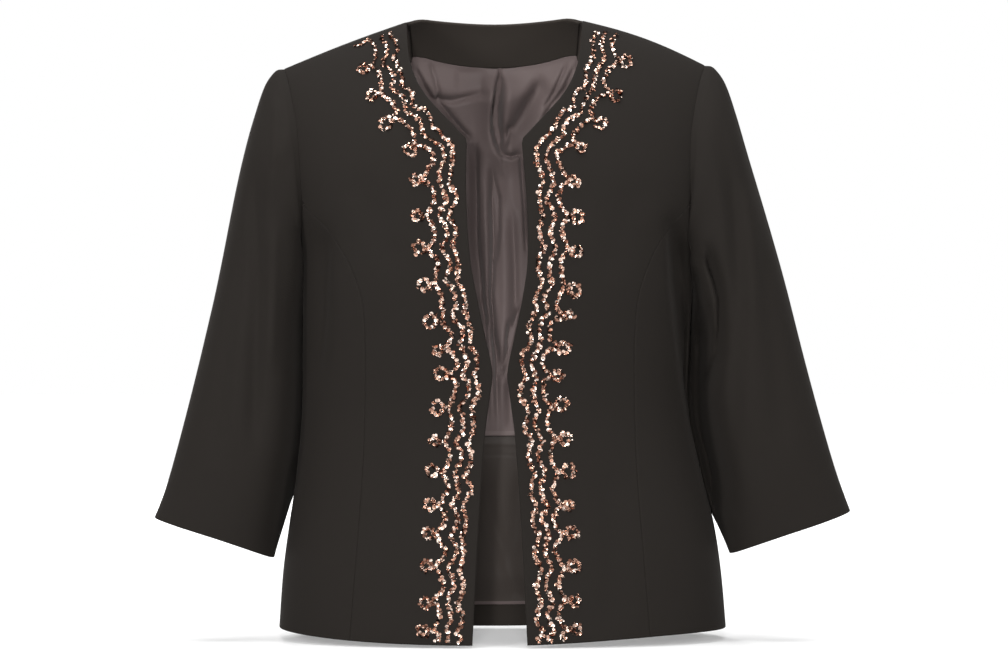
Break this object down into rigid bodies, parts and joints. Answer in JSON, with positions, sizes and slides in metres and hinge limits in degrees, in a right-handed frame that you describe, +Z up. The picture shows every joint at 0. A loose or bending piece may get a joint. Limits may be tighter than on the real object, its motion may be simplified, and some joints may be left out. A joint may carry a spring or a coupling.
{
  "type": "collarless open-front blazer, filled out as worn",
  "caption": "Women's collarless edge-to-edge blazer with princess seams and three-quarter set-in sleeves, standing filled out and hollow.",
  "frame": {"origin": "where the wearer's shoulders carry it: midway between the two points where the shoulder seams meet the neckline", "axes": "+Z up, the front faces -Y, +X towards the wearer's left"},
  "size_m": [0.6744, 0.2321, 0.6065],
  "materials": {
    "suiting": "matt near-black brown twill suiting",
    "taupe_satin": "soft taupe-grey lining satin",
    "dark_satin": "soft dark brown lining satin",
    "copper_sequin": "small cupped sequins in mixed copper and rose gold"
  },
  "bodies": {
    "root": {"front_left": "suiting", "front_right": "suiting", "side_front_left": "suiting", "side_front_right": "suiting", "back": "suiting", "sleeve_left": "suiting", "sleeve_right": "suiting", "neck_facing": "suiting", "lining_upper": "taupe_satin", "lining_lower": "dark_satin"}
  },
  "joints": []
}
